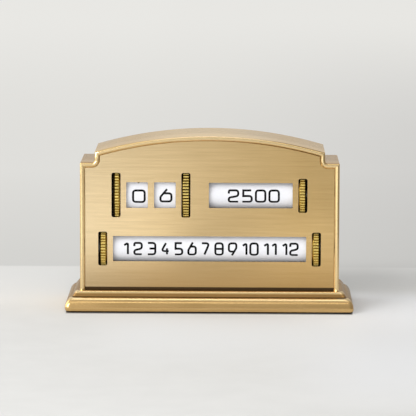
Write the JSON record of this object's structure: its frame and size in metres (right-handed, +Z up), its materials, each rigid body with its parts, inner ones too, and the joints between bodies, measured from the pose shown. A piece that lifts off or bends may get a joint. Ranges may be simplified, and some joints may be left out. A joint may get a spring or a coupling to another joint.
{
  "type": "countdown calendar",
  "caption": "Desk countdown calendar in a brass mantel-clock case: digit, unit and message rollers behind windows, each turned by a knurled thumbwheel in the front panel.",
  "frame": {"origin": "under the middle of the base, on the surface it stands on", "axes": "+X to the right along the case, +Y towards the back, +Z up; the front panel faces -Y"},
  "size_m": [0.19, 0.0716, 0.1159],
  "materials": {
    "case_brass": "satin lacquered",
    "brushed_brass": "brushed from side to side",
    "wheel_brass": "knurled",
    "black_sheet": "matt black paint",
    "felt": "black felt",
    "steel": "zinc plated",
    "white_plastic": "moulded",
    "dark_plastic": "moulded",
    "label_paper": "printed"
  },
  "bodies": {
    "case": {"plinth": "case_brass", "base_plate": "black_sheet", "base_pad": "felt", "base_screws": "steel", "hood": "case_brass", "hood_screws": "steel", "front_panel": "brushed_brass", "left_bracket": "steel", "centre_bracket": "steel", "right_bracket": "steel", "pillars": "steel", "bracket_nuts": "steel", "back_cover": "black_sheet", "cover_screws": "steel", "digit_axle": "steel", "unit_axle": "steel", "axle_clips": "steel", "left_spacer": "dark_plastic", "centre_spacer": "dark_plastic", "right_spacer": "dark_plastic", "drum_washer": "dark_plastic", "spring_washers": "steel", "left_bush": "dark_plastic", "right_bush": "dark_plastic"},
    "tens_roller": {"tens_drum": "white_plastic", "tens_label": "label_paper", "tens_wheel": "wheel_brass"},
    "ones_roller": {"ones_drum": "white_plastic", "ones_label": "label_paper", "ones_wheel": "wheel_brass"},
    "unit_roller": {"unit_drum": "white_plastic", "unit_cap": "white_plastic", "unit_label": "label_paper", "unit_wheel": "wheel_brass"},
    "message_roller": {"message_spindle": "steel", "message_tube": "white_plastic", "message_left_cap": "white_plastic", "message_right_cap": "white_plastic", "message_label": "label_paper", "message_left_wheel": "wheel_brass", "message_right_wheel": "wheel_brass"}
  },
  "joints": [
    {"name": "tens_turn", "type": "hinge", "parent": "case", "child": "tens_roller", "pos_m": [-0.049, -0.0013, 0.0766], "axis": [1, 0, 0], "continuous": true},
    {"name": "ones_turn", "type": "hinge", "parent": "case", "child": "ones_roller", "pos_m": [-0.028, -0.0013, 0.0766], "axis": [1, 0, 0], "continuous": true},
    {"name": "unit_turn", "type": "hinge", "parent": "case", "child": "unit_roller", "pos_m": [0.03, -0.0114, 0.0766], "axis": [1, 0, 0], "continuous": true},
    {"name": "message_turn", "type": "hinge", "parent": "case", "child": "message_roller", "pos_m": [0, -0.0114, 0.041], "axis": [1, 0, 0], "continuous": true}
  ]
}
